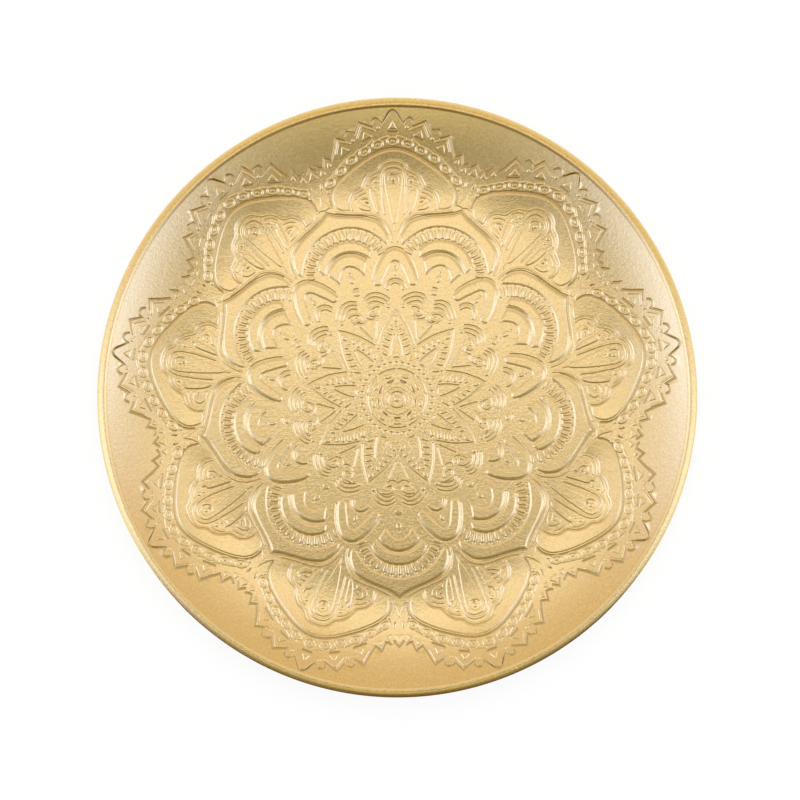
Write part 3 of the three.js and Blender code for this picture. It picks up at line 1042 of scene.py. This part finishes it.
# How far a direction belongs to the side that lies a given turn clockwise from the back
def side_share(turn, none_at, all_at):
    towards = tree.nodes.new("ShaderNodeVectorMath")
    towards.operation = "DOT_PRODUCT"
    towards.inputs[1].default_value = (math.sin(math.radians(turn)), math.cos(math.radians(turn)), 0)
    link(tree, aim.outputs["Vector"], towards.inputs[0])
    return share_between(towards.outputs["Value"], none_at, all_at)


def blend_cloth(share, first, second):
    mix = tree.nodes.new("ShaderNodeMix")
    mix.data_type = "RGBA"
    link(tree, share, mix.inputs["Factor"])
    link(tree, first, mix.inputs["A"])
    link(tree, second, mix.inputs["B"])
    return mix.outputs["Result"]


TOP_WHITE = (0.0, (1.56, 1.55, 1.52))
FRONT_TOP = (
    (0.0, (0.60, 0.56, 0.37)), (0.04, (0.38, 0.345, 0.18)),
    (0.1, (0.26, 0.23, 0.085)), (0.16, (0.20, 0.178, 0.055)),
)
front = cloth_ramp(FRONT_TOP + (
    (0.28, (0.20, 0.18, 0.065)), (0.42, (0.41, 0.38, 0.22)), (0.55, (0.54, 0.515, 0.36)),
    (0.75, (0.40, 0.37, 0.25)), (0.9, (0.31, 0.28, 0.17)), (1.0, (0.22, 0.195, 0.11)),
))
front_gap = cloth_ramp(FRONT_TOP + (
    (0.28, (0.24, 0.215, 0.09)), (0.42, (0.84, 0.80, 0.56)), (0.55, (1.08, 1.10, 0.89)),
    (0.75, (0.34, 0.30, 0.19)), (0.9, (0.20, 0.17, 0.09)), (1.0, (0.14, 0.11, 0.05)),
))
back = cloth_ramp((
    TOP_WHITE, (0.09, (1.54, 1.53, 1.56)), (0.28, (0.72, 0.63, 0.47)), (0.42, (0.76, 0.64, 0.44)),
    (0.55, (0.70, 0.54, 0.32)), (0.72, (0.80, 0.77, 0.67)), (1.0, (0.85, 0.82, 0.74)),
))
side = cloth_ramp((
    TOP_WHITE, (0.09, (1.44, 1.44, 1.48)), (0.28, (0.87, 0.86, 0.89)), (0.42, (1.18, 1.38, 2.12)),
    (0.55, (1.34, 1.61, 2.65)), (0.75, (1.22, 1.38, 1.95)), (1.0, (1.22, 1.38, 1.9)),
))
overhead = blend_cloth(side_share(FRONT_TURN, -0.15, 0.75), side, front)
gentle = blend_cloth(side_share(FRONT_TURN, 0.44, 0.9), side, front)
steep = blend_cloth(side_share(FRONT_TURN, 0.3, 0.85), side, front)
cloth = blend_cloth(share_between(slant.outputs["Value"], 0.12, 0.34), overhead, gentle)
cloth = blend_cloth(share_between(slant.outputs["Value"], 0.55, 0.8), cloth, steep)
cloth = blend_cloth(side_share(GAP_TURN, 0.965, 0.996), cloth, front_gap)
cloth = blend_cloth(side_share(BACK_TURN, -0.1, 0.5), cloth, back)
glow = tree.nodes.new("ShaderNodeEmission")
link(tree, cloth, glow.inputs["Color"])
link(tree, glow.outputs[0], tree.nodes["Material Output"].inputs["Surface"])
dome = bmesh.new()
bmesh.ops.create_uvsphere(dome, u_segments=64, v_segments=32, radius=TENT_RADIUS)
below = [v for v in dome.verts if v.co.z < -0.001]
bmesh.ops.delete(dome, geom=below, context="VERTS")
tent = make_piece(dome, "light_tent")
tent.data.materials.append(TENT)
tent.visible_camera = False
tent.visible_diffuse = False
tent.visible_shadow = False

# A dark brown glowing sheet lying on the table in front of the tray. The camera does not see it, and it
# gives no light or shadow. Only the outside of the rim mirrors it: a painted dark reflection, which makes
# the dark line along the lower edge.
DARK_REFLECTION_HALF = 0.4
DARK_REFLECTION_PLACE = (0.2, -0.51, 0.0005)
DARK_REFLECTION = bpy.data.materials.new("painted_dark_reflection")
DARK_REFLECTION.use_nodes = True
tree = DARK_REFLECTION.node_tree
tree.nodes.remove(tree.nodes["Principled BSDF"])
glow = tree.nodes.new("ShaderNodeEmission")
# The dark brown glow is the colour of the painted dark reflection
glow.inputs["Color"].default_value = (0.18, 0.11, 0.05, 1)
link(tree, glow.outputs[0], tree.nodes["Material Output"].inputs["Surface"])
board = bmesh.new()
bmesh.ops.create_grid(board, x_segments=1, y_segments=1, size=DARK_REFLECTION_HALF)
bmesh.ops.translate(board, vec=DARK_REFLECTION_PLACE, verts=board.verts[:])
dark_reflection_sheet = make_piece(board, "painted_dark_reflection")
dark_reflection_sheet.data.materials.append(DARK_REFLECTION)
dark_reflection_sheet.visible_camera = False
dark_reflection_sheet.visible_diffuse = False
dark_reflection_sheet.visible_shadow = False

# A soft lamp behind and above the tray, aimed at its middle, for the shadow on the sheet alone: the metal
# mirrors the tent and not the lamp.
LAMP_PLACE = Vector((0.1, 0.75, 1.3))
lamp = bpy.data.lights.new("soft_lamp", "AREA")
lamp.size = 0.7
lamp.energy = 6.0
lamp_object = bpy.data.objects.new("soft_lamp", lamp)
lamp_object.location = LAMP_PLACE
lamp_object.rotation_euler = (-LAMP_PLACE).to_track_quat("-Z", "Y").to_euler()
lamp_object.visible_glossy = False
scene.collection.objects.link(lamp_object)

# The camera looks straight down from two metres. At the level of the rim each pixel of the frame is half
# a millimetre, and the middle of the tray lies a little off the middle of the frame.
FRAME_PIXELS = 800
PIXEL = 0.0005
OFF_RIGHT = 2.7
OFF_UP = -2.45
RIM_LEVEL = 0.0129
DISTANCE = 2.0
SENSOR = 36.0
lens = bpy.data.cameras.new("camera")
lens.sensor_width = SENSOR
lens.lens = SENSOR * DISTANCE / (FRAME_PIXELS * PIXEL)
camera = bpy.data.objects.new("camera", lens)
camera.location = (OFF_RIGHT * PIXEL, OFF_UP * PIXEL, RIM_LEVEL + DISTANCE)
scene.collection.objects.link(camera)
scene.camera = camera
